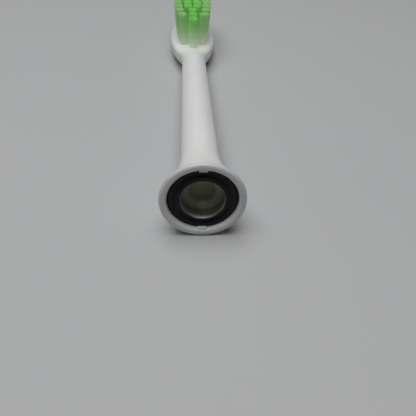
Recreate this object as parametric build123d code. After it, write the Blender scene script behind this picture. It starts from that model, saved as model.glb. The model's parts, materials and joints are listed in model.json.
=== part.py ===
from build123d import *
from math import sqrt
import os

# Replacement brush head for a sonic toothbrush: a white neck with an oval tufted head, a base ring,
# and a click-on socket for the handle's shaft with a leaf spring that holds it.
#
# Millimetres. Y runs along the brush, from the ring at the handle end to the tip of the head.
# Z points up through the bristles. Stations are measured along Y from the ring's front face, and
# every piece is moved at the end so that the origin is on the axis, at the lip of the socket sleeve.

# Whole brush
overall_length = 78.0

# Base ring
ring_face_width = 1.26
ring_step = 0.29
ring_length = 1.3
ring_wall_depth = 1.0
ring_outer_round = 0.55
ring_rim_flat = 0.02
ring_inner_round = 0.45
spigot_wall = 0.75
spigot_length = 1.0
lug_width = 1.4
lug_height = 0.3
lug_setback = 0.2
lug_rear_gap = 0.05

# Neck shell
shell_lip_wall = 0.7
skirt_taper = 0.1
skirt_length = 0.7
flare_length = 11.2
neck_tip_radius = 2.65
shell_wall = 0.7
seam_chamfer = 0.1
cored_hole_radius = 1.4
cored_hole_to_shoulder = 5.5

# Head plate
plate_length = 25.0
plate_width = 10.4
plate_top = 1.2
plate_thickness = 3.7
plate_top_round = 0.5
plate_back_round = 1.5
shoulder_overlap = 1.5
shoulder_length = 6.3
shoulder_middle_share = 0.45
shoulder_middle_spread = 0.14
shoulder_middle_drop = 0.45

# Socket sleeve, damper and coupling core
sleeve_setback = 0.4
sleeve_bore_radius = 3.55
sleeve_wall = 0.15
sleeve_length = 2.3
sleeve_lip_round = 0.08
damper_wall = 0.96
damper_lip_setback = 0.1
damper_lip_width = 0.3
damper_length = 2.9
damper_rim_thickness = 0.1
damper_groove_radius = 0.3
core_length = 19.3
core_wall = 0.56
shaft_bore_radius = 2.05
shaft_bore_length = 6.3
shaft_lead_in = 0.35
shaft_pocket_length = 17.3
shaft_pocket_relief = 0.2
shaft_flat = 1.35
bond_gap = 0.02

# Retaining spring
leaf_length = 9.4
leaf_width = 1.8
leaf_thickness = 0.2
detent_radius = 0.3
detent_from_tip = 1.1
eye_radius = 0.3
eye_width = 2.6
eye_beyond_pocket = 0.9
spring_clearance = 0.03
window_side_clearance = 0.1
window_end_clearance = 0.6

# Tufts: how many stand in each row, from the ring end to the tip
row_columns = (1, 3, 3, 4, 4, 4, 4, 4, 3, 2)
field_centre_from_tip = 10.9
field_length = 17.8
field_end_margin = 1.2
field_width_share = 0.58
tuft_radius = 0.7
tuft_tip_spread = 0.6
tuft_side_lean = 0.12
tuft_end_lean = 0.04
tuft_depth = 2.5
tuft_hole_gap = 0.02
tuft_hole_headroom = 0.4
near_tuft_height = 7.1
middle_tuft_height = 7.9
anchor_bite = 0.18
anchor_thickness = 0.22
anchor_height = 1.1
anchor_from_floor = 0.35
anchor_turn = 40.0

# Stations and sizes that follow from the values above
sleeve_outer_radius = sleeve_bore_radius + sleeve_wall
spigot_inner_radius = sleeve_outer_radius + damper_wall + 2 * bond_gap
spigot_outer_radius = spigot_inner_radius + spigot_wall
spigot_end = ring_length + spigot_length
ring_inner_radius = spigot_outer_radius + ring_step
ring_outer_radius = ring_inner_radius + ring_face_width
ring_back_radius = spigot_outer_radius + shell_lip_wall
skirt_radius = ring_back_radius - skirt_taper
skirt_end = ring_length + skirt_length
flare_end = skirt_end + flare_length
neck_base_radius = shaft_bore_radius + core_wall + shell_wall
plate_centre = overall_length - plate_length / 2
plate_back = plate_top - plate_thickness
shoulder_start = overall_length - plate_length - shoulder_overlap
shoulder_end = shoulder_start + shoulder_length
cored_hole_end = shoulder_start - cored_hole_to_shoulder
core_start = sleeve_setback + sleeve_length
damper_lip = sleeve_setback + damper_lip_setback
damper_end = damper_lip + damper_length
damper_bore_radius = sleeve_outer_radius + bond_gap
damper_lip_edge = damper_bore_radius + damper_lip_width
rim_radius = ring_inner_radius - bond_gap
rim_front = ring_wall_depth - bond_gap - damper_rim_thickness
core_end = core_start + core_length
shaft_bore_end = core_start + shaft_bore_length
shaft_pocket_end = core_start + shaft_pocket_length
eye_station = shaft_pocket_end + eye_beyond_pocket
leaf_level = -(shaft_flat + leaf_thickness / 2)
row_pitch = field_length / (len(row_columns) - 1)
field_centre = overall_length - field_centre_from_tip
tuft_hole_radius = tuft_radius + tuft_hole_gap
tuft_floor = plate_top - tuft_depth


def neck_radius(station):
    """Outside radius of the straight tapered neck, continued under the flare."""
    taper = (neck_base_radius - neck_tip_radius) / (shoulder_start - flare_end)
    return neck_base_radius - taper * (station - flare_end)


def damper_front(radius):
    """Station of the damper's sloping front face, between its lip and its rim."""
    share = (radius - damper_lip_edge) / (rim_radius - damper_lip_edge)
    return damper_lip + share * (rim_front - damper_lip)


def turned(outline, rounded=()):
    """Solid of revolution about Y from a closed outline of (radius, station) points."""
    face = make_face(Polyline(*outline, close=True))
    for corner, radius in rounded:
        vertex = face.vertices().sort_by_distance((corner[0], corner[1], 0))[0]
        face = fillet(vertex, radius)
    return revolve(face, axis=Axis.Y)


def drum(radius, start, end):
    """Plain cylinder on the Y axis between two stations."""
    return turned([(0, start), (radius, start), (radius, end), (0, end)])


def neck_solid(inset, end):
    """Skirt, flare and neck as one turned solid, its surface brought in by inset."""
    waist = skirt_end + flare_length / 2
    front = (ring_back_radius - inset, ring_length)
    skirt = (skirt_radius - inset, skirt_end)
    pull = (neck_radius(waist) - inset, waist)
    neck = (neck_base_radius - inset, flare_end)
    tip = (neck_radius(end) - inset, end)
    outline = [
        Line((0, ring_length), front),
        Line(front, skirt),
        Bezier(skirt, pull, neck),
        Line(neck, tip),
        Line(tip, (0, end)),
        Line((0, end), (0, ring_length)),
    ]
    return revolve(make_face(outline), axis=Axis.Y)


def core_envelope(gap):
    """The space behind the damper that the coupling core fills, less a gap all round."""
    return neck_solid(shell_wall + gap, core_end) - drum(ring_outer_radius, 0, damper_end)


def section(station, half_width, top, bottom):
    """Oval cross-section of the shoulder, standing square to the Y axis."""
    plane = Plane(origin=(0, station, (top + bottom) / 2), x_dir=(1, 0, 0), z_dir=(0, 1, 0))
    return plane * Ellipse(half_width, (top - bottom) / 2)


def shoulder():
    """Blend from the round neck to the flat oval plate."""
    start_radius = neck_radius(shoulder_start)
    middle = shoulder_start + shoulder_length * shoulder_middle_share
    middle_half_width = start_radius + shoulder_middle_spread * (plate_width / 2 - start_radius)
    middle_top = start_radius + shoulder_middle_drop * (plate_top - start_radius)
    middle_back = shoulder_middle_drop * (plate_back + start_radius) - start_radius
    end_share = (plate_centre - shoulder_end) / (plate_length / 2)
    end_half_width = plate_width / 2 * sqrt(1 - end_share ** 2)
    return loft([
        section(shoulder_start, start_radius, start_radius, -start_radius),
        section(middle, middle_half_width, middle_top, middle_back),
        section(shoulder_end, end_half_width, plate_top, plate_back),
    ])


def head_plate():
    """Flat oval plate that carries the bristles."""
    outline = Pos(0, plate_centre, plate_back) * Ellipse(plate_width / 2, plate_length / 2)
    plate = extrude(outline, plate_thickness)
    plate = fillet(plate.edges().group_by(Axis.Z)[-1], plate_top_round)
    return fillet(plate.edges().group_by(Axis.Z)[0], plate_back_round)


def row_half_width(along):
    """How far a row's outer tufts stand from the middle, at a distance from the field's centre."""
    oval_length = field_length / 2 + field_end_margin
    oval_width = plate_width / 2 * field_width_share
    return oval_width * sqrt(1 - (along / oval_length) ** 2)


def places_across(half_width, columns):
    """x of each tuft in a row; one that stands alone stands in the middle."""
    if columns == 1:
        return [0.0]
    return [half_width * (2 * column / (columns - 1) - 1) for column in range(columns)]


def tuft_places():
    """(x, station, height) of every tuft: straight rows inside an oval field."""
    half_length = field_length / 2
    places = []
    for row, columns in enumerate(row_columns):
        along = row * row_pitch - half_length
        rise = (middle_tuft_height - near_tuft_height) * (1 - (along / half_length) ** 2)
        for x in places_across(row_half_width(along), columns):
            places.append((x, field_centre + along, near_tuft_height + rise))
    return places


def tuft_tip_radius():
    """Tuft radius at the tips, which fan out into part of the closest gap between two tufts."""
    spacings = [row_pitch * (1 + tuft_end_lean)]
    for row, columns in enumerate(row_columns):
        across = places_across(row_half_width(row * row_pitch - field_length / 2), columns)
        spacings += [(right - left) * (1 + tuft_side_lean) for left, right in zip(across, across[1:])]
    return tuft_radius + tuft_tip_spread * (min(spacings) / 2 - tuft_radius)


def anchor(x, station, gap=0.0):
    """Flat staple that pins a tuft's fold into its hole, wider than the hole."""
    width = 2 * (tuft_hole_radius + anchor_bite + gap)
    level = tuft_floor + anchor_from_floor + anchor_height / 2
    blade = Box(width, anchor_thickness + 2 * gap, anchor_height + 2 * gap)
    return Pos(x, station, level) * Rot(0, 0, anchor_turn) * blade


def tuft(x, station, height):
    """Envelope of one bundle of filaments: upright in its hole, then leaning out to the trimmed tips."""
    root = Pos(x, station, tuft_floor + tuft_depth / 2) * Cylinder(tuft_radius, tuft_depth)
    tip_x = x * (1 + tuft_side_lean)
    tip_station = station + tuft_end_lean * (station - field_centre)
    brush = loft([
        Pos(x, station, plate_top) * Circle(tuft_radius),
        Pos(tip_x, tip_station, plate_top + height) * Circle(tuft_tip_radius()),
    ])
    return root + brush - anchor(x, station, bond_gap)


def neck_shell(places):
    """White moulding: skirt, neck and head plate, hollow at the handle end."""
    shell = neck_solid(0, shoulder_start) + shoulder() + head_plate()
    front_edges = shell.edges().filter_by(GeomType.CIRCLE).group_by(Axis.Y)[0]
    shell = chamfer(front_edges, seam_chamfer)
    shell -= drum(spigot_outer_radius + bond_gap, 0, spigot_end + bond_gap)
    shell -= drum(spigot_inner_radius, 0, damper_end)
    shell -= core_envelope(0)
    shell -= drum(cored_hole_radius, core_end - bond_gap, cored_hole_end)
    hole_floor = tuft_floor - tuft_hole_gap
    hole_height = plate_top + tuft_hole_headroom - hole_floor
    for x, station, height in places:
        shell -= Pos(x, station, hole_floor + hole_height / 2) * Cylinder(tuft_hole_radius, hole_height)
        shell -= anchor(x, station, bond_gap)
    return shell


def base_ring():
    """Coloured ring at the handle end, with a spigot into the shell and two keying lugs."""
    outer_edge = (ring_outer_radius, 0)
    inner_edge = (ring_inner_radius, 0)
    outline = [
        inner_edge,
        outer_edge,
        (ring_outer_radius, ring_outer_round + ring_rim_flat),
        (ring_back_radius, ring_length),
        (spigot_outer_radius, ring_length),
        (spigot_outer_radius, spigot_end),
        (spigot_inner_radius, spigot_end),
        (spigot_inner_radius, ring_wall_depth),
        (ring_inner_radius, ring_wall_depth),
    ]
    ring = turned(outline, [(outer_edge, ring_outer_round), (inner_edge, ring_inner_round)])
    lug_length = damper_front(ring_inner_radius - lug_height) - lug_rear_gap - lug_setback
    for side in (1, -1):
        lug = Box(lug_width, lug_length, 2 * lug_height)
        lug = Pos(0, lug_setback + lug_length / 2, side * ring_inner_radius) * lug
        ring += lug
    return ring


def damper_ring():
    """Soft black ring between the base ring and the socket sleeve."""
    body_radius = spigot_inner_radius - bond_gap
    rim_back = ring_wall_depth - bond_gap
    outline = [
        (damper_bore_radius, damper_lip),
        (damper_lip_edge, damper_lip),
        (rim_radius, rim_front),
        (rim_radius, rim_back),
        (body_radius, rim_back),
        (body_radius, damper_end - bond_gap),
        (damper_bore_radius, damper_end - bond_gap),
    ]
    groove_radius = (damper_lip_edge + rim_radius) / 2
    groove_station = damper_front(groove_radius) - damper_groove_radius / 2
    groove = revolve(Pos(groove_radius, groove_station) * Circle(damper_groove_radius), axis=Axis.Y)
    return turned(outline) - groove


def socket_sleeve():
    """Polished steel liner of the socket's mouth."""
    lip = (sleeve_outer_radius, sleeve_setback)
    outline = [
        (sleeve_bore_radius, sleeve_setback),
        lip,
        (sleeve_outer_radius, core_start),
        (sleeve_bore_radius, core_start),
    ]
    return turned(outline, [(lip, sleeve_lip_round)])


def spring_window():
    """Opening in the core's underside that the retaining spring lies and swings in."""
    front = eye_station - leaf_length - window_end_clearance
    top = leaf_level + eye_radius + spring_clearance
    width = leaf_width + 2 * window_side_clearance
    depth = 2 * skirt_radius
    window = Pos(0, (front + eye_station) / 2, top - depth / 2) * Box(width, eye_station - front, depth)
    seat = Cylinder(eye_radius + spring_clearance, eye_width + 2 * window_side_clearance)
    return window + Pos(0, eye_station, leaf_level) * Rot(0, 90, 0) * seat


def shaft_pocket():
    """Round guide bore with a lead-in, then a relieved D-shaped pocket for the flat of the shaft."""
    pocket = drum(shaft_bore_radius + shaft_pocket_relief, shaft_bore_end, shaft_pocket_end)
    key = Pos(0, shaft_pocket_end / 2, -shaft_flat - shaft_bore_radius)
    pocket -= key * Box(2 * ring_outer_radius, 2 * shaft_pocket_end, 2 * shaft_bore_radius)
    guide = turned([
        (0, core_start),
        (shaft_bore_radius + shaft_lead_in, core_start),
        (shaft_bore_radius, core_start + shaft_lead_in),
        (shaft_bore_radius, shaft_bore_end),
        (0, shaft_bore_end),
    ])
    return pocket + guide


def coupling_core():
    """Insert bonded in the neck that takes the handle's shaft."""
    boss = drum(sleeve_outer_radius, core_start, damper_end)
    core = boss + core_envelope(bond_gap)
    return core - shaft_pocket() - spring_window()


def retaining_spring():
    """Steel leaf with an eye at its root and a detent ridge near its tip."""
    leaf = Pos(0, eye_station - leaf_length / 2, leaf_level) * Box(leaf_width, leaf_length, leaf_thickness)
    eye = Pos(0, eye_station, leaf_level) * Rot(0, 90, 0) * Cylinder(eye_radius, eye_width)
    detent_station = eye_station - leaf_length + detent_from_tip
    detent = Pos(0, detent_station, -shaft_flat) * Rot(0, 90, 0) * Cylinder(detent_radius, leaf_width)
    return leaf + eye + detent


def write(node, piece):
    """Move a piece from ring-face stations to the row's frame and write it."""
    export_step(Pos(0, -sleeve_setback, 0) * piece, f"parts/{node}.step")


os.makedirs("parts", exist_ok=True)
tufts = tuft_places()
write("neck_shell", neck_shell(tufts))
write("base_ring", base_ring())
write("damper_ring", damper_ring())
write("socket_sleeve", socket_sleeve())
write("coupling_core", coupling_core())
write("retaining_spring", retaining_spring())
write("tuft_anchors", Part() + [anchor(x, station) for x, station, height in tufts])
for number, (x, station, height) in enumerate(tufts, start=1):
    write(f"bristle_tuft_{number:02d}", tuft(x, station, height))
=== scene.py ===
import json
import math
import random

import bpy
import numpy as np
from mathutils import Matrix, Vector


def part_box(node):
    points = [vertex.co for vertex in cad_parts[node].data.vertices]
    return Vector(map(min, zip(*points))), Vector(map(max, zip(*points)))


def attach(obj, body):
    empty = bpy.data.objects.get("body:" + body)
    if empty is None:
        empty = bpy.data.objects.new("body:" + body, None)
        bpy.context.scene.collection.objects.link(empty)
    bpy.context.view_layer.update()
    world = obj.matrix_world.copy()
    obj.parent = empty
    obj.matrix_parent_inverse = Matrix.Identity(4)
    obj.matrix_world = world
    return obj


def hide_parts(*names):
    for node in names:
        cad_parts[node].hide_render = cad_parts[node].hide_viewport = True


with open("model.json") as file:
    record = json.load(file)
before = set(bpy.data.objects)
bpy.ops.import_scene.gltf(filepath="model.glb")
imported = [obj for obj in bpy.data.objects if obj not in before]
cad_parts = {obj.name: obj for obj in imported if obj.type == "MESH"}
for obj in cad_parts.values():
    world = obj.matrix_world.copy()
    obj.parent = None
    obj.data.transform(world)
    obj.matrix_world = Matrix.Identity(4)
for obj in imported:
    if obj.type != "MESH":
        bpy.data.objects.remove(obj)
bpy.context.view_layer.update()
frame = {"nodes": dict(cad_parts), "record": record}

MM = 0.001
NODES = frame["nodes"]
SLOT_OF = {part["node"]: part["material_slot"] for part in frame["record"]["subparts"]}

# Where things lie along the brush, in millimetres from the row's origin, read off the frame
RING_LOW, RING_HIGH = [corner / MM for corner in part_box("base_ring")]
SHELL_LOW, SHELL_HIGH = [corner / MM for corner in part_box("neck_shell")]
SLEEVE_LOW, SLEEVE_HIGH = [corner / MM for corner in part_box("socket_sleeve")]
DAMPER_LOW, DAMPER_HIGH = [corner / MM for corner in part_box("damper_ring")]
CORE_LOW, CORE_HIGH = [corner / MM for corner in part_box("coupling_core")]
RING_FACE = RING_LOW.y
RING_RADIUS = RING_HIGH.x
TIP = SHELL_HIGH.y

# The frame's own sizes that a box can't give, in millimetres, as the CAD has them
RING_INNER_RADIUS = 5.74
RING_BACK_RADIUS = 6.15
RING_WALL_DEPTH = 1.0
RING_OUTER_ROUND = 0.55
RING_INNER_ROUND = 0.45
SPIGOT_INNER_RADIUS = 4.7
SPIGOT_OUTER_RADIUS = 5.45
SKIRT_RADIUS = 6.05
SKIRT_LENGTH = 0.7
FLARE_LENGTH = 11.2
NECK_BASE_RADIUS = 3.31
NECK_TIP_RADIUS = 2.65
SHELL_WALL = 0.7
CORED_HOLE_RADIUS = 1.4
CORED_HOLE_LENGTH = 24.0
PLATE_LENGTH = 25.0
PLATE_WIDTH = 10.4
PLATE_TOP = 1.2
PLATE_BACK = -2.5
SHOULDER_LENGTH = 6.3
SHOULDER_OVERLAP = 1.5
SLEEVE_BORE = 3.55
TUFT_FLOOR = -1.3
TUFT_HOLE_RADIUS = 0.72
TALLEST_TUFT = 7.9
LUG_HALF_WIDTH = 0.70
LUG_HEIGHT = 0.30
LUG_SETBACK = 0.20
BOND_GAP = 0.02
DAMPER_RIM = 0.10

# Sizes that only the looks have, in millimetres, with the fan and the bend as plain numbers
LEAD_IN = 0.135
LEAD_IN_LENGTH = 0.6
# Width and fade of the near-black band painted round the sleeve's lip.
DARK_LIP_WIDTH = 0.09
DARK_LIP_FADE = 0.04
# Fade at the end of the sleeve's painted highlight.
PAINTED_HIGHLIGHT_FADE = 0.15
SLEEVE_LIP_ROUND = 0.01
SOFT_EDGE = 0.03
LUG_LENGTH = 0.56
LUG_ROOT = 0.15
LUG_BEVEL = 0.08
LUG_FRONT_BEVEL = 0.06
SEAM_ROUND = 0.10
FILAMENT_RADIUS = 0.078
FILAMENT_PITCH = 0.170
BUNDLE_RADIUS = 0.62
BUNDLE_FAN = 0.46
BEND_POWER = 0.6
TIP_SCATTER = 0.07
TIP_DOME = 0.12
TIP_UNEVENNESS = 0.06

SEAM = SHELL_LOW.y
FLARE_START = SEAM + SKIRT_LENGTH
FLARE_END = FLARE_START + FLARE_LENGTH
SHOULDER_START = TIP - PLATE_LENGTH - SHOULDER_OVERLAP
PLATE_CENTRE = TIP - PLATE_LENGTH / 2

# Points in each loop round the brush, and the angle past which an edge is shaded sharp
AROUND = 144
SHARP_DEGREES = 38.0


# ---------------------------------------------------------------- materials

class Graph:
    """Short way to build a node material: add nodes, join sockets, read them back."""

    def __init__(self, name):
        self.material = bpy.data.materials.new(name)
        self.material.use_nodes = True
        self.tree = self.material.node_tree
        self.shader = self.tree.nodes["Principled BSDF"]
        self.coordinates = self.tree.nodes.new("ShaderNodeTexCoord").outputs["Object"]

    def add(self, kind, settings=None, **inputs):
        node = self.tree.nodes.new(kind)
        for key, value in (settings or {}).items():
            setattr(node, key, value)
        for key, value in inputs.items():
            self.set(node, key.replace("_", " "), value)
        return node

    def set(self, node, key, value):
        if isinstance(value, bpy.types.NodeSocket):
            self.tree.links.new(value, node.inputs[key])
        else:
            node.inputs[key].default_value = value

    def stretched(self, x, y, z):
        """Object coordinates scaled to cycles per metre along each axis."""
        node = self.add("ShaderNodeMapping", Vector=self.coordinates, Scale=(x, y, z))
        return node.outputs["Vector"]

    def noise(self, per_metre, detail=3.0, roughness=0.55, vector=None):
        node = self.add("ShaderNodeTexNoise", Vector=vector or self.coordinates, Scale=per_metre,
                        Detail=detail, Roughness=roughness)
        return node.outputs["Fac"]

    def ramp(self, factor, *stops):
        """Colour ramp through (place, colour) stops."""
        node = self.add("ShaderNodeValToRGB", Fac=factor)
        elements = node.color_ramp.elements
        while len(elements) < len(stops):
            elements.new(0.5)
        for element, (place, colour) in zip(elements, stops):
            element.position = place
            element.color = (*colour, 1.0)
        return node.outputs["Color"]

    def spread(self, factor, low, high, start=0.0, end=1.0):
        """Number that goes from low to high as factor goes from start to end."""
        node = self.add("ShaderNodeMapRange", Value=factor, From_Min=start, From_Max=end,
                        To_Min=low, To_Max=high)
        return node.outputs["Result"]

    def blend(self, factor, first, second, mode="MIX"):
        node = self.add("ShaderNodeMixRGB", {"blend_type": mode}, Fac=factor, Color1=first, Color2=second)
        return node.outputs["Color"]

    def bump(self, height, distance, strength=0.5, under=None):
        node = self.add("ShaderNodeBump", Height=height, Distance=distance, Strength=strength)
        if under is not None:
            self.set(node, "Normal", under)
        return node.outputs["Normal"]

    def finish(self, **inputs):
        for key, value in inputs.items():
            self.set(self.shader, key.replace("_", " "), value)
        return self.material


def moulded_white(name, light, shade, roughness):
    """Satin moulded plastic with faint cloudiness, a fine grain and a few light scuffs."""
    g = Graph(name)
    clouds = g.noise(90, detail=4)
    grain = g.noise(5200, detail=2)
    flow = g.noise(240, vector=g.stretched(1.0, 0.12, 1.0))
    scuffs = g.noise(900, detail=6, roughness=0.7, vector=g.stretched(1.0, 0.35, 1.0))
    colour = g.ramp(clouds, (0.30, shade), (0.70, light))
    scuff_mask = g.spread(scuffs, 0.0, 1.0, 0.62, 0.74)
    colour = g.blend(g.spread(scuffs, 0.0, 0.10, 0.60, 0.75), colour, (0.62, 0.62, 0.61, 1.0))
    gloss = g.spread(scuff_mask, roughness, roughness + 0.16)
    normal = g.bump(flow, 0.00006, 0.22)
    normal = g.bump(grain, 0.000012, 0.30, under=normal)
    return g.finish(Base_Color=colour, Roughness=gloss, Normal=normal, IOR=1.49,
                    Subsurface_Weight=0.12, Subsurface_Radius=(1.0, 0.95, 0.85), Subsurface_Scale=0.0012,
                    Coat_Weight=0.06, Coat_Roughness=0.25)


def soft_black_rubber():
    """Matte elastomer with a fine dusty grain."""
    g = Graph("damper_rubber")
    grain = g.noise(4200, detail=4, roughness=0.6)
    dust = g.noise(700, detail=5, roughness=0.65)
    colour = g.ramp(dust, (0.35, (0.006, 0.006, 0.006)), (0.80, (0.019, 0.018, 0.018)))
    normal = g.bump(grain, 0.00003, 0.45)
    return g.finish(Base_Color=colour, Roughness=g.spread(grain, 0.62, 0.86), Normal=normal,
                    Specular_IOR_Level=0.28, Sheen_Weight=0.05, Sheen_Roughness=0.5)


def rolled_steel(name, light, shade, roughness):
    """Bright steel with rolled grain along the brush."""
    g = Graph(name)
    lines = g.noise(1.0, detail=3, vector=g.stretched(9000, 300, 9000))
    stain = g.noise(520, detail=4)
    colour = g.ramp(stain, (0.30, shade), (0.72, light))
    normal = g.bump(lines, 0.000006, 0.35)
    return g.finish(Base_Color=colour, Metallic=1.0, Normal=normal,
                    Roughness=g.spread(lines, roughness * 0.85, roughness * 1.25))


def sleeve_metal():
    """Steel with turning lines, painted brighter over the lead-in as a painted highlight and darker deeper
    in the bore as painted shade; a near-black, non-metal band is painted round its lip.
    """
    g = Graph("sleeve_metal")
    depth = g.add("ShaderNodeSeparateXYZ", Vector=g.coordinates).outputs["Y"]
    # A near-black, non-metal band is painted round the lip of the bore.
    dark_lip_end = SLEEVE_LOW.y + DARK_LIP_WIDTH
    past_dark_lip = g.spread(depth, 0.0, 1.0, dark_lip_end * MM, (dark_lip_end + DARK_LIP_FADE) * MM)
    lines = g.noise(1.0, detail=3, vector=g.stretched(250, 9000, 250))
    stain = g.noise(520, detail=4)
    # Painted highlight: the steel is brightest over the lead-in, where the light catches it; deeper in the
    # bore it is painted darker, as painted shade.
    painted_highlight_steel = g.ramp(stain, (0.40, (0.80, 0.78, 0.75)), (0.60, (0.97, 0.96, 0.94)))
    painted_shade_steel = g.ramp(stain, (0.30, (0.36, 0.35, 0.33)), (0.72, (0.48, 0.47, 0.45)))
    painted_highlight_end = SLEEVE_LOW.y + LEAD_IN_LENGTH
    past_painted_highlight = g.spread(depth, 0.0, 1.0, painted_highlight_end * MM, (painted_highlight_end + PAINTED_HIGHLIGHT_FADE) * MM)
    colour = g.blend(past_painted_highlight, painted_highlight_steel, painted_shade_steel)
    colour = g.blend(past_dark_lip, (0.012, 0.012, 0.012, 1.0), colour)
    return g.finish(Base_Color=colour, Metallic=past_dark_lip, Normal=g.bump(lines, 0.000010, 0.5),
                    Roughness=g.spread(stain, 0.30, 0.40, 0.3, 0.7))


def smoky_core():
    """Grey-olive resin, cloudy and faintly turned, with a painted glow, stronger deeper in, standing in
    for light filtering through the neck into its bore.
    """
    g = Graph("core_resin")
    depth = g.add("ShaderNodeSeparateXYZ", Vector=g.coordinates).outputs["Y"]
    # Painted glow: emission that grows deeper into the bore, standing in for light coming through the
    # neck.
    painted_glow = g.spread(depth, 0.006, 0.040, CORE_LOW.y * MM, (CORE_LOW.y + 7) * MM)
    clouds = g.noise(420, detail=4)
    grain = g.noise(5200, detail=3)
    colour = g.ramp(clouds, (0.28, (0.115, 0.122, 0.080)), (0.72, (0.205, 0.212, 0.150)))
    normal = g.bump(grain, 0.00002, 0.30)
    return g.finish(Base_Color=colour, Roughness=g.spread(clouds, 0.26, 0.42), Normal=normal, IOR=1.5,
                    Subsurface_Weight=0.35, Subsurface_Radius=(1.0, 1.0, 0.7), Subsurface_Scale=0.001,
                    Emission_Color=(0.86, 1.0, 0.60, 1.0), Emission_Strength=painted_glow)


def nylon(name, tip, middle, root):
    """Filament nylon, pale at the root and green at the tip, with a painted glow (emission), strongest
    near the root, standing in for light piped down the filaments.
    """
    g = Graph(name)
    height = g.add("ShaderNodeSeparateXYZ", Vector=g.coordinates).outputs["Z"]
    strands = g.noise(1.0, detail=1, vector=g.stretched(7000, 7000, 60))
    wobble = g.spread(strands, -0.0006, 0.0006)
    level = g.add("ShaderNodeMath", {"operation": "ADD"})
    g.tree.links.new(height, level.inputs[0])
    g.tree.links.new(wobble, level.inputs[1])
    along = g.spread(level.outputs[0], 0.0, 1.0, PLATE_TOP * MM, (PLATE_TOP + TALLEST_TUFT) * MM)
    colour = g.ramp(along, (0.0, root), (0.42, middle), (0.80, tip), (1.0, tip))
    shade = g.ramp(strands, (0.30, (0.78, 0.80, 0.76)), (0.70, (1.0, 1.0, 1.0)))
    colour = g.blend(1.0, colour, shade, "MULTIPLY")
    normal = g.bump(g.noise(1.0, detail=2, vector=g.stretched(9000, 9000, 900)), 0.00001, 0.25)
    # The emission is a painted glow, strongest near the roots, standing in for light piped down the
    # filaments.
    return g.finish(Base_Color=colour, Roughness=g.spread(strands, 0.28, 0.42), Normal=normal, IOR=1.53,
                    Subsurface_Weight=0.5, Subsurface_Radius=(0.8, 1.0, 0.7), Subsurface_Scale=0.0003,
                    Emission_Color=colour, Emission_Strength=g.spread(along, 0.085, 0.045, 0.0, 0.55))


def pale_floor():
    """Plain pale studio surface with the faintest unevenness."""
    g = Graph("studio_floor")
    clouds = g.noise(14, detail=3)
    grain = g.noise(1500, detail=2)
    colour = g.ramp(clouds, (0.2, (0.455, 0.460, 0.467)), (0.8, (0.475, 0.479, 0.485)))
    return g.finish(Base_Color=colour, Roughness=0.75, Normal=g.bump(grain, 0.00004, 0.15))


MATERIALS = {
    "shell_white": moulded_white("shell_plastic", (0.83, 0.83, 0.815), (0.78, 0.785, 0.78), 0.34),
    # The ring is a slightly greyer white than the shell, painted much darker so that its face, turned
    # towards the camera, carries painted shade.
    "ring_white": moulded_white("ring_plastic_painted_shade", (0.62, 0.63, 0.645), (0.56, 0.57, 0.585), 0.36),
    "damper_black": soft_black_rubber(),
    "sleeve_steel": sleeve_metal(),
    "core_smoke": smoky_core(),
    "spring_steel": rolled_steel("spring_metal", (0.66, 0.66, 0.64), (0.50, 0.50, 0.48), 0.24),
    "anchor_steel": rolled_steel("anchor_metal", (0.72, 0.71, 0.68), (0.58, 0.57, 0.54), 0.20),
    "bristle_green": nylon("green_nylon", (0.32, 0.86, 0.21), (0.60, 0.90, 0.46), (0.88, 0.95, 0.79)),
    "bristle_pale": nylon("pale_nylon", (0.44, 0.80, 0.33), (0.54, 0.82, 0.42), (0.86, 0.93, 0.77)),
}


def dress(piece, node, body="brush_head"):
    """A new piece that stands for a CAD node: its material, its body and its slot."""
    piece.data.materials.clear()
    piece.data.materials.append(MATERIALS[SLOT_OF[node]])
    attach(piece, body)
    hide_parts(node)
    return piece


# ---------------------------------------------------------------- mesh helpers

def new_object(name, vertices, faces, sharp_degrees=SHARP_DEGREES):
    """Object from a vertex array in millimetres, shaded smooth except at sharp edges."""
    mesh = bpy.data.meshes.new(name)
    mesh.from_pydata((np.asarray(vertices) * MM).tolist(), [], faces)
    mesh.validate()
    mesh.polygons.foreach_set("use_smooth", [True] * len(mesh.polygons))
    mesh.set_sharp_from_angle(angle=math.radians(sharp_degrees))
    piece = bpy.data.objects.new(name, mesh)
    bpy.context.scene.collection.objects.link(piece)
    return piece


def skin(name, loops, closed=False, sharp_degrees=SHARP_DEGREES):
    """Surface through loops of AROUND points; its two ends are capped, or joined if closed."""
    count = len(loops)
    vertices = np.concatenate(loops)
    faces = []
    for ring in range(count if closed else count - 1):
        here = ring * AROUND
        there = (ring + 1) % count * AROUND
        for k in range(AROUND):
            after = (k + 1) % AROUND
            faces.append((here + k, here + after, there + after, there + k))
    if not closed:
        faces.append(tuple(range(AROUND - 1, -1, -1)))
        faces.append(tuple((count - 1) * AROUND + k for k in range(AROUND)))
    return new_object(name, vertices, faces, sharp_degrees)


def circle(radius, y):
    """Loop of points round the brush's axis, starting at the top."""
    turn = np.arange(AROUND) * 2 * math.pi / AROUND
    return np.stack([radius * np.sin(turn), np.full(AROUND, y), radius * np.cos(turn)], -1)


def oval(half_width, top, back, level, top_power, back_power, y):
    """Loop like a rounded slab: widest at level, squarer as its powers grow, evenly spaced."""
    turn = np.linspace(0, 2 * math.pi, 1441)
    up = np.cos(turn)
    power = np.where(up >= 0, top_power, back_power)
    x = half_width * np.sign(np.sin(turn)) * np.abs(np.sin(turn)) ** (2 / power)
    rise = np.where(up >= 0, top - level, back - level)
    z = level + rise * np.abs(up) ** (2 / power)
    steps = np.hypot(np.diff(x), np.diff(z))
    length = np.concatenate([[0], np.cumsum(steps)])
    even = np.arange(AROUND) * length[-1] / AROUND
    return np.stack([np.interp(even, length, x), np.full(AROUND, y), np.interp(even, length, z)], -1)


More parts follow.
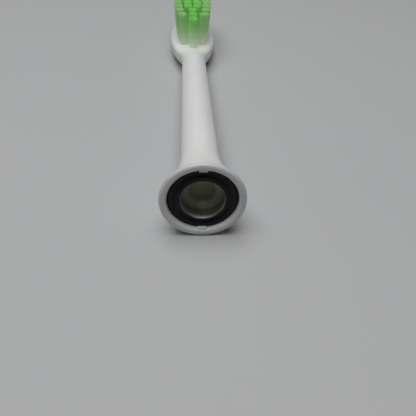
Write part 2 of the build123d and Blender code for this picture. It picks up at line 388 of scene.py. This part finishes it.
def arc(centre_radius, centre_y, radius, start_degrees, end_degrees, count=8):
    """(radius, y) points of a round in a turned outline; 0 degrees points outwards, 90 along +Y."""
    angles = np.radians(np.linspace(start_degrees, end_degrees, count))
    return [(centre_radius + radius * math.cos(a), centre_y + radius * math.sin(a)) for a in angles]


def turned(name, outline, sharp_degrees=SHARP_DEGREES):
    """Piece turned about the brush's axis from a closed outline of (radius, y) points."""
    return skin(name, [circle(r, y) for r, y in outline], True, sharp_degrees)


def smoothstep(value, start, end):
    t = np.clip((value - start) / (end - start), 0.0, 1.0)
    return t * t * (3 - 2 * t)


def apply_modifiers(piece):
    """Turns a piece's modifiers into its mesh."""
    evaluated = piece.evaluated_get(bpy.context.evaluated_depsgraph_get())
    mesh = bpy.data.meshes.new_from_object(evaluated)
    piece.modifiers.clear()
    piece.data = mesh
    return piece


# ---------------------------------------------------------------- neck shell

def neck_radius(y):
    taper = (NECK_BASE_RADIUS - NECK_TIP_RADIUS) / (SHOULDER_START - FLARE_END)
    return NECK_BASE_RADIUS - taper * (y - FLARE_END)


def outer_radius(y):
    """Skirt, flare and straight neck."""
    if y < FLARE_START:
        return RING_BACK_RADIUS + (SKIRT_RADIUS - RING_BACK_RADIUS) * (y - SEAM) / SKIRT_LENGTH
    if y < FLARE_END:
        t = (y - FLARE_START) / FLARE_LENGTH
        pull = neck_radius(FLARE_START + FLARE_LENGTH / 2)
        return (1 - t) ** 2 * SKIRT_RADIUS + 2 * t * (1 - t) * pull + t * t * NECK_BASE_RADIUS
    return neck_radius(y)


def plate_half_width(y):
    share = min(abs(y - PLATE_CENTRE) / (PLATE_LENGTH / 2), 1.0)
    return PLATE_WIDTH / 2 * math.sqrt(1 - share * share)


def smooth_max(first, second, reach):
    h = min(max(0.5 + 0.5 * (first - second) / reach, 0.0), 1.0)
    return second + (first - second) * h + reach * h * (1 - h)


def rounded_end(y, radius):
    """How far a face with that edge radius has curved away by y, near the tip."""
    into = max(y - (TIP - radius), 0.0)
    return radius - math.sqrt(max(radius * radius - into * into, 0.0))


def shell_loop(y):
    """Cross-section of the shell's outside: round neck, then shoulder, then oval plate."""
    turn_flat = float(smoothstep(y, SHOULDER_START - 1.0, SHOULDER_START + SHOULDER_LENGTH + 0.5))
    squared = float(smoothstep(y, SHOULDER_START + 0.5, SHOULDER_START + SHOULDER_LENGTH + 2.5))
    radius = outer_radius(min(y, SHOULDER_START + 2.0))
    half_width = plate_half_width(y)
    if y < PLATE_CENTRE:
        half_width = smooth_max(radius, half_width, 2.0)
    top_round = 0.6
    back_round = 1.6
    top = radius + (PLATE_TOP - radius) * turn_flat - rounded_end(y, top_round)
    back = -radius + (PLATE_BACK + radius) * turn_flat + rounded_end(y, back_round)
    level = -0.15 * squared
    top_power = 2 + 3.6 * squared
    back_power = 2 + 1.3 * squared
    return oval(half_width, top, back, level, top_power, back_power, y)


def shell_stations():
    """Places along the brush for the shell's loops, closest together at the shoulder and the nose."""
    flare = np.linspace(FLARE_START, FLARE_END, 34)
    blend_start = SHOULDER_START - 2
    blend_end = SHOULDER_START + 9
    nose_length = 2
    neck = np.linspace(FLARE_END, blend_start, 26)[1:]
    shoulder = np.linspace(blend_start, blend_end, 56)[1:]
    plate = np.linspace(blend_end, TIP - nose_length, 30)[1:]
    nose = TIP - nose_length * (1 - np.sin(np.linspace(0, math.pi / 2, 26)))[1:]
    return np.concatenate([flare, neck, shoulder, plate, nose[:-1], [TIP - 0.0015]])


def neck_shell():
    """The white moulding, hollow at the ring end, with a hole for each tuft."""
    inner_end = CORE_HIGH.y
    pocket_end = DAMPER_HIGH.y
    counterbore_end = RING_HIGH.y
    cored_end = inner_end + CORED_HOLE_LENGTH
    loops = [circle(0.02, cored_end), circle(CORED_HOLE_RADIUS, cored_end)]
    loops.append(circle(CORED_HOLE_RADIUS, inner_end))
    for y in np.linspace(inner_end, pocket_end, 24):
        loops.append(circle(outer_radius(y) - SHELL_WALL, y))
    loops.append(circle(SPIGOT_INNER_RADIUS, pocket_end))
    loops.append(circle(SPIGOT_INNER_RADIUS, counterbore_end))
    loops.append(circle(SPIGOT_OUTER_RADIUS + BOND_GAP, counterbore_end))
    loops.append(circle(SPIGOT_OUTER_RADIUS + BOND_GAP, SEAM))
    for r, y in arc(RING_BACK_RADIUS - SEAM_ROUND, SEAM + SEAM_ROUND, SEAM_ROUND, -90, 0, 6):
        loops.append(circle(r, y))
    loops.extend(shell_loop(y) for y in shell_stations())
    shell = skin("neck_shell_skin", loops)
    cut_tuft_holes(shell)
    return dress(shell, "neck_shell")


def cut_tuft_holes(shell):
    """Blind round holes that the tufts stand in."""
    sides = 40
    vertices = []
    faces = []
    for node in tuft_nodes():
        x, y = tuft_shape(node)[:2]
        base = len(vertices)
        for z in (TUFT_FLOOR, PLATE_TOP + 0.5):
            for k in range(sides):
                turn = 2 * math.pi * k / sides
                across = TUFT_HOLE_RADIUS * math.cos(turn)
                along = TUFT_HOLE_RADIUS * math.sin(turn)
                vertices.append((x + across, y + along, z))
        faces.append([base + sides - 1 - k for k in range(sides)])
        faces.append([base + sides + k for k in range(sides)])
        for k in range(sides):
            after = (k + 1) % sides
            faces.append([base + k, base + after, base + sides + after, base + sides + k])
    cutter = new_object("tuft_hole_cutter", vertices, faces)
    cut = shell.modifiers.new("tuft_holes", "BOOLEAN")
    cut.object = cutter
    cut.operation = "DIFFERENCE"
    cut.solver = "EXACT"
    apply_modifiers(shell)
    shell.data.set_sharp_from_angle(angle=math.radians(SHARP_DEGREES))
    bpy.data.objects.remove(cutter)


# ---------------------------------------------------------------- tufts

def tuft_nodes():
    return sorted(node for node in NODES if node.startswith("bristle_tuft_"))


def tuft_shape(node):
    """A tuft's root (x, y), the (x, y) shift of its tips, and its top, read off its CAD envelope."""
    points = np.array([tuple(v.co) for v in NODES[node].data.vertices]) / MM
    low = points[points[:, 2] < points[:, 2].min() + 0.01]
    high = points[points[:, 2] > points[:, 2].max() - 0.01]
    root = (low.min(0) + low.max(0)) / 2
    tip = (high.min(0) + high.max(0)) / 2
    return root[0], root[1], tip[0] - root[0], tip[1] - root[1], tip[2]


def hex_places(radius, pitch):
    """Points of a close packing inside a circle."""
    places = []
    rows = int(radius / pitch) + 2
    for row in range(-rows, rows + 1):
        for column in range(-rows, rows + 1):
            x = (column + 0.5 * (row % 2)) * pitch
            y = row * pitch * math.sqrt(3) / 2
            if math.hypot(x, y) <= radius:
                places.append((x, y))
    return places


def filament(base, way, radius, top, vertices, faces):
    """One nylon filament: straight in its hole, leaning out above it, with a rounded tip."""
    sides = 6
    levels = [TUFT_FLOOR + 0.05, PLATE_TOP]
    levels += [PLATE_TOP + height for height in (0.7, 1.6, 2.8, 4.4)]
    levels += [top - 0.9, top - radius, top - radius * 0.35]
    sizes = [1.0] * (len(levels) - 1) + [0.74]
    start = len(vertices)
    for z, size in zip(levels, sizes):
        bend = (max(z - PLATE_TOP, 0.0) / (top - PLATE_TOP)) ** BEND_POWER
        for k in range(sides):
            turn = 2 * math.pi * k / sides
            vertices.append((
                base[0] + way[0] * bend + radius * size * math.cos(turn),
                base[1] + way[1] * bend + radius * size * math.sin(turn),
                z,
            ))
    for level in range(len(levels) - 1):
        here = start + level * sides
        for k in range(sides):
            after = (k + 1) % sides
            faces.append((here + k, here + after, here + sides + after, here + sides + k))
    vertices.append((base[0] + way[0], base[1] + way[1], top))
    last = start + (len(levels) - 1) * sides
    for k in range(sides):
        faces.append((last + k, last + (k + 1) % sides, len(vertices) - 1))
    faces.append(tuple(start + sides - 1 - k for k in range(sides)))


def tuft(node):
    """A tuft's bundle of filaments, fanning out towards its tips."""
    x, y, lean_x, lean_y, top = tuft_shape(node)
    draw = random.Random(node)
    vertices = []
    faces = []
    for px, py in hex_places(BUNDLE_RADIUS, FILAMENT_PITCH):
        way = (
            lean_x + BUNDLE_FAN * px + draw.gauss(0, TIP_SCATTER),
            lean_y + BUNDLE_FAN * py + draw.gauss(0, TIP_SCATTER),
        )
        dome = TIP_DOME * (px * px + py * py) / BUNDLE_RADIUS ** 2
        tip = top - dome - abs(draw.gauss(0, TIP_UNEVENNESS))
        filament((x + px, y + py), way, FILAMENT_RADIUS, tip, vertices, faces)
    piece = new_object(node + "_filaments", vertices, faces, 60.0)
    return dress(piece, node)


def all_tufts():
    for node in tuft_nodes():
        tuft(node)


# ---------------------------------------------------------------- ring, damper, sleeve

def base_ring():
    """Ring with a crowned face, a spigot and two keying lugs."""
    face = RING_FACE
    inner = RING_INNER_RADIUS
    outline = [(SPIGOT_OUTER_RADIUS, SEAM), (SPIGOT_OUTER_RADIUS, RING_HIGH.y)]
    outline += [(SPIGOT_INNER_RADIUS, RING_HIGH.y), (SPIGOT_INNER_RADIUS, face + RING_WALL_DEPTH)]
    outline += [(inner, face + RING_WALL_DEPTH)]
    outline += arc(inner + RING_INNER_ROUND, face + RING_INNER_ROUND, RING_INNER_ROUND, 180, 270, 12)
    outline += arc(RING_RADIUS - RING_OUTER_ROUND, face + RING_OUTER_ROUND, RING_OUTER_ROUND, -90, 15, 18)
    outline += arc(RING_BACK_RADIUS - SEAM_ROUND, SEAM - SEAM_ROUND, SEAM_ROUND, 40, 90, 5)
    ring = turned("base_ring_skin", outline[::-1])
    lugs = [lug(side) for side in (1, -1)]
    for piece in lugs:
        join = ring.modifiers.new("lug", "BOOLEAN")
        join.object = piece
        join.operation = "UNION"
        join.solver = "EXACT"
    apply_modifiers(ring)
    ring.data.set_sharp_from_angle(angle=math.radians(SHARP_DEGREES))
    for piece in lugs:
        bpy.data.objects.remove(piece)
    return dress(ring, "base_ring")


def lug(side):
    """Small key with bevelled edges on the ring's inner wall."""
    start = RING_FACE + LUG_SETBACK
    end = start + LUG_LENGTH
    foot = RING_INNER_RADIUS + LUG_ROOT
    crown = RING_INNER_RADIUS - LUG_HEIGHT
    corners = [(LUG_HALF_WIDTH, foot), (LUG_HALF_WIDTH, crown + LUG_BEVEL)]
    corners += [(LUG_HALF_WIDTH - LUG_BEVEL, crown)]
    profile = corners + [(-x, r) for x, r in corners[::-1]]
    rings = [(start, LUG_FRONT_BEVEL), (start + LUG_FRONT_BEVEL, 0.0), (end, 0.0)]
    vertices = []
    for y, inset in rings:
        for x, r in profile:
            vertices.append((x * (1 - inset), y, side * (r + inset)))
    count = len(profile)
    faces = []
    for level in range(len(rings) - 1):
        for k in range(count):
            here = level * count
            after = (k + 1) % count
            faces.append((here + k, here + after, here + count + after, here + count + k))
    faces.append(tuple(range(count - 1, -1, -1)))
    faces.append(tuple((len(rings) - 1) * count + k for k in range(count)))
    if side > 0:
        faces = [face[::-1] for face in faces]
    return new_object("lug", vertices, faces)


def damper_ring():
    """Soft ring with a rolled lip, a shallow flexing groove and a thin rim."""
    bore = SLEEVE_HIGH.x + BOND_GAP
    lip = DAMPER_LOW.y
    back = DAMPER_HIGH.y
    rim = DAMPER_HIGH.x
    rim_back = RING_FACE + RING_WALL_DEPTH - BOND_GAP
    rim_front = rim_back - DAMPER_RIM
    body = SPIGOT_INNER_RADIUS - BOND_GAP
    lip_round = 0.12
    edge_round = 0.10
    lip_edge = bore + 0.28
    groove_centre = bore + 0.80
    groove_round = 0.30
    outline = [(bore, back)]
    outline += arc(bore + lip_round, lip + lip_round, lip_round, 180, 270, 6)
    outline += arc(lip_edge, lip + edge_round, edge_round, -90, -20, 5)
    outline += arc(groove_centre, lip + 0.18, groove_round, 170, 20, 9)
    outline += arc(rim - 0.42, rim_front - 0.02, edge_round, -130, -60, 5)
    outline += [(rim - 0.05, rim_front), (rim, rim_front + 0.04), (rim, rim_back)]
    outline += [(body, rim_back), (body, back)]
    return dress(turned("damper_ring_skin", outline[::-1], sharp_degrees=50), "damper_ring")


def socket_sleeve():
    """Steel liner whose mouth opens in a shallow curved lead-in that catches the light."""
    lip = SLEEVE_LOW.y
    end = SLEEVE_HIGH.y
    outer = SLEEVE_HIGH.x
    outline = [(outer, end), (SLEEVE_BORE, end)]
    for share in np.linspace(1, 0, 12):
        outline.append((SLEEVE_BORE + LEAD_IN * (1 - share) ** 1.5, lip + LEAD_IN_LENGTH * share))
    outline += arc(outer - SLEEVE_LIP_ROUND, lip + SLEEVE_LIP_ROUND, SLEEVE_LIP_ROUND, 270, 360, 6)
    return dress(turned("socket_sleeve_skin", outline, sharp_degrees=55), "socket_sleeve")


def cad_pieces():
    """CAD nodes that keep their own shape get their finish and softened edges."""
    for node in ("coupling_core", "retaining_spring", "tuft_anchors"):
        piece = NODES[node]
        piece.data.materials.clear()
        piece.data.materials.append(MATERIALS[SLOT_OF[node]])
        edge = piece.modifiers.new("soft_edges", "BEVEL")
        edge.width = SOFT_EDGE * MM
        edge.segments = 2
        edge.limit_method = "ANGLE"
        edge.angle_limit = math.radians(40)


# ---------------------------------------------------------------- studio

def studio_floor():
    """Plain floor that the ring and the back of the head both rest on."""
    ring_contact = RING_FACE + 0.3
    head_contact = TIP - 1.6
    rise = (PLATE_BACK + RING_RADIUS) / (head_contact - ring_contact)
    half = 2.5
    middle = Vector((0, ring_contact * MM, -RING_RADIUS * MM))
    along = Vector((0, 1, rise)).normalized()
    corners = []
    for x, s in ((-half, -half), (half, -half), (half, half), (-half, half)):
        corners.append(middle + Vector((x, 0, 0)) + along * s)
    mesh = bpy.data.meshes.new("studio_floor")
    mesh.from_pydata([tuple(corner) for corner in corners], [], [(0, 1, 2, 3)])
    floor = bpy.data.objects.new("studio_floor", mesh)
    floor.data.materials.append(pale_floor())
    bpy.context.scene.collection.objects.link(floor)


def soft_box(name, place, aim, width, watts, tint=(1.0, 1.0, 1.0)):
    """Square area light at place, turned towards aim."""
    light = bpy.data.lights.new(name, "AREA")
    light.shape = "SQUARE"
    light.size = width
    light.energy = watts
    light.color = tint
    lamp = bpy.data.objects.new(name, light)
    lamp.location = place
    lamp.rotation_euler = (Vector(aim) - Vector(place)).to_track_quat("-Z", "Y").to_euler()
    bpy.context.scene.collection.objects.link(lamp)


def studio_lights():
    middle = (0, 0.03, 0)
    soft_box("key_overhead", (-0.05, -0.02, 0.46), middle, 0.42, 2.2)
    soft_box("fill_left", (-0.60, 0.05, 0.30), middle, 0.50, 0.09, (0.92, 0.96, 1.0))
    soft_box("fill_right", (0.60, 0.05, 0.30), middle, 0.50, 0.07, (1.0, 0.97, 0.92))
    world = bpy.data.worlds.new("studio_world")
    world.use_nodes = True
    world.node_tree.nodes["Background"].inputs["Color"].default_value = (0.80, 0.82, 0.85, 1.0)
    world.node_tree.nodes["Background"].inputs["Strength"].default_value = 0.02
    bpy.context.scene.world = world


def camera():
    """Above and in front of the ring, looking down the brush, rolled very slightly."""
    yaw = math.radians(-3.79)
    pitch = math.radians(37.80)
    roll = math.radians(1.81)
    place = Vector((-4.04, RING_FACE - 73.40, 55.88)) * MM
    forward = Vector((-math.sin(yaw) * math.cos(pitch), math.cos(yaw) * math.cos(pitch), -math.sin(pitch)))
    right = forward.cross(Vector((0, 0, 1))).normalized()
    up = right.cross(forward)
    right_rolled = right * math.cos(roll) + up * math.sin(roll)
    up_rolled = up * math.cos(roll) - right * math.sin(roll)
    lens = bpy.data.cameras.new("camera")
    lens.sensor_width = 36.0
    lens.lens = 51.06
    lens.clip_start = 0.002
    lens.clip_end = 20.0
    view = bpy.data.objects.new("camera", lens)
    turn = Matrix((right_rolled, up_rolled, -forward)).transposed().to_4x4()
    view.matrix_world = Matrix.Translation(place) @ turn
    bpy.context.scene.collection.objects.link(view)
    bpy.context.scene.camera = view


camera()
neck_shell()
all_tufts()
base_ring()
damper_ring()
socket_sleeve()
cad_pieces()
studio_floor()
studio_lights()
bpy.context.scene.view_settings.view_transform = "Standard"
